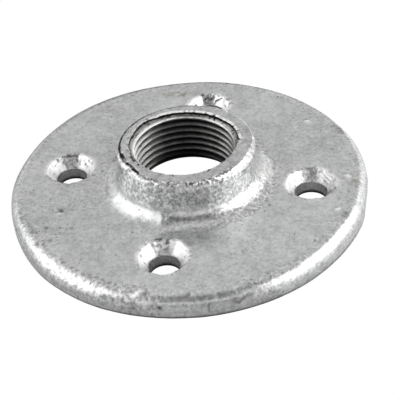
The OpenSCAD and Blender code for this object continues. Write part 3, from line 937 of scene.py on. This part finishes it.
# painted shade and dirt in near black, burrs and painted highlights in near white
col = k.mix(k.attr("dirt_and_shade"), col, (0.003, 0.003, 0.003))
col = k.mix(k.attr("burr_and_highlight"), col, (0.90, 0.90, 0.89))
k.link(col, sh.inputs["Base Color"])
k.link(k.math("MULTIPLY", k.remap(k.attr("burr_and_highlight"), 0.0, 1.0, 1.0, 0.15), k.remap(k.attr("dirt_and_shade"), 0.0, 1.0, 1.0, 0.0)), sh.inputs["Metallic"])
sh.inputs["Specular IOR Level"].default_value = 0.15
k.link(k.remap(n2, 0.3, 0.7, 0.26, 0.42), sh.inputs["Roughness"])
k.link(k.bump(n2, 0.35, 0.00008), sh.inputs["Normal"])

mesh.materials.append(zinc)
mesh.materials.append(cut)

# ----------------------------------------------------------------------------
# Camera at the photograph's viewing angle
# ----------------------------------------------------------------------------
EL, ROLL = math.radians(39.101), math.radians(5.295)
DIST, FPX, SX, SY = 283.63, 1120.25, -2.650, 1.544
right_v = Vector((1, 0, 0))
fwd = Vector((0, math.cos(EL), -math.sin(EL)))
up_v = Vector((0, math.sin(EL), math.cos(EL)))
eye = -SX * right_v - SY * up_v - DIST * fwd
cx = math.cos(ROLL) * right_v - math.sin(ROLL) * up_v
cy = math.sin(ROLL) * right_v + math.cos(ROLL) * up_v
rot = Matrix.Rotation(TURN, 3, "Z")
cx, cy, cz, eye = rot @ cx, rot @ cy, rot @ (-fwd), rot @ eye * 0.001
cam_data = bpy.data.cameras.new("camera")
cam_data.sensor_width = 36.0
cam_data.lens = FPX * 36.0 / 400.0
cam_data.clip_start = 0.005
cam_data.clip_end = 20.0
cam = bpy.data.objects.new("camera", cam_data)
cam.matrix_world = Matrix(((cx.x, cy.x, cz.x, eye.x), (cx.y, cy.y, cz.y, eye.y), (cx.z, cy.z, cz.z, eye.z), (0, 0, 0, 1)))
bpy.context.collection.objects.link(cam)
bpy.context.scene.camera = cam

# ----------------------------------------------------------------------------
# Floor and studio light
# ----------------------------------------------------------------------------
def ground(name, z, colour, glow, outline_xy=((-3, -3), (3, -3), (3, 3), (-3, 3))):
    me = bpy.data.meshes.new(name)
    me.from_pydata([(x, y, z) for x, y in outline_xy], [], [tuple(range(len(outline_xy)))])
    ob = bpy.data.objects.new(name, me)
    bpy.context.collection.objects.link(ob)
    m, tree, sh = new_material(name)
    sh.inputs["Base Color"].default_value = (*colour, 1)
    sh.inputs["Roughness"].default_value = 0.9
    sh.inputs["Specular IOR Level"].default_value = 0.1
    sh.inputs["Emission Color"].default_value = (1, 1, 1, 1)
    sh.inputs["Emission Strength"].default_value = glow
    me.materials.append(m)
    return ob


# the pale floor that is seen, and the grey one under it that the metal reflects
floor = ground("floor", -0.00006, (0.10, 0.10, 0.10), 1.0)
floor.visible_diffuse = floor.visible_glossy = floor.visible_shadow = False
bounce = ground("floor_bounce", -0.00004, (0.55, 0.55, 0.55), 0.0)
bounce.visible_camera = False
# painted light: the reflected floor is painted lighter towards the stronger light on the right
wedge = [(0.0, 0.0)] + [(2.9 * math.cos(math.radians(t)), 2.9 * math.sin(math.radians(t))) for t in range(-50, 90, 20)]
side = ground("floor_bounce_right", -0.00003, (0.80, 0.80, 0.80), 0.0, wedge)
side.visible_camera = False


def sweep(r0, r1, a0, a1):
    """Outline of a sector of a ring on the floor, radii in metres, degrees."""
    t = [math.radians(x) for x in np.linspace(a0, a1, 17)]
    return [(r1 * math.cos(x), r1 * math.sin(x)) for x in t] + [(r0 * math.cos(x), r0 * math.sin(x)) for x in reversed(t)]


# painted light: rings of the reflected floor towards the right and back glow, standing in for the lit floor further out
for name, r0, r1, glow in (("floor_glow_0", 0.050, 0.056, 0.15), ("floor_glow_1", 0.056, 0.066, 0.35), ("floor_glow_2", 0.066, 0.40, 0.55)):
    ob = ground(name, -0.00002, (0.80, 0.80, 0.80), glow, sweep(r0, r1, -48, 92))
    ob.visible_camera = False
# painted light: the reflected floor is painted a little lighter on the left too
ob = ground("floor_bounce_left", -0.00003, (0.63, 0.63, 0.63), 0.0, sweep(0.0001, 2.9, 152, 258))
ob.visible_camera = False


def panel(name, az_deg, el_deg, dist, w, h, radiance):
    """A soft panel seen from the object at an azimuth and elevation, facing it."""
    a, e = math.radians(az_deg), math.radians(el_deg)
    d = Vector((math.cos(a) * math.cos(e), math.sin(a) * math.cos(e), math.sin(e)))
    ld = bpy.data.lights.new(name, "AREA")
    ld.shape = "RECTANGLE"
    ld.size, ld.size_y = w, h
    ld.energy = radiance * w * h * math.pi
    ob = bpy.data.objects.new(name, ld)
    ob.location = d * dist
    ob.rotation_euler = d.to_track_quat("Z", "Y").to_euler()
    bpy.context.collection.objects.link(ob)
    return ob


def softbox(name, az_deg, el_deg, dist, w, h, radiance):
    """A soft box that fades towards its border: three panels one behind the other."""
    for k, (size, share) in enumerate(((0.70, 0.36), (0.94, 0.34), (1.18, 0.30))):
        panel("%s_%d" % (name, k), az_deg, el_deg, dist * (1 + 0.01 * k), w * size, h * size, radiance * share)


OFF = 13.7    # the camera's azimuth in the part's frame
softbox("left_soft", 181 + OFF, 31, 0.62, 0.82, 0.57, 2.3)
softbox("right_soft", -10 + OFF, 25, 0.62, 0.82, 0.62, 3.2)
panel("right_back", 46 + OFF, 18, 0.62, 0.46, 0.34, 1.2)
panel("left_back", 130 + OFF, 11, 0.62, 0.42, 0.24, 0.75)
panel("top_back", 92 + OFF, 60, 0.80, 1.00, 1.30, 0.60)
panel("front_low", -86 + OFF, 22, 0.80, 1.45, 0.30, 0.82)

world = bpy.data.worlds.new("studio")
world.use_nodes = True
world.node_tree.nodes["Background"].inputs[0].default_value = (1, 1, 1, 1)
world.node_tree.nodes["Background"].inputs[1].default_value = 0.13
bpy.context.scene.world = world
bpy.context.scene.view_settings.view_transform = "Standard"
bpy.context.scene.view_settings.look = "None"
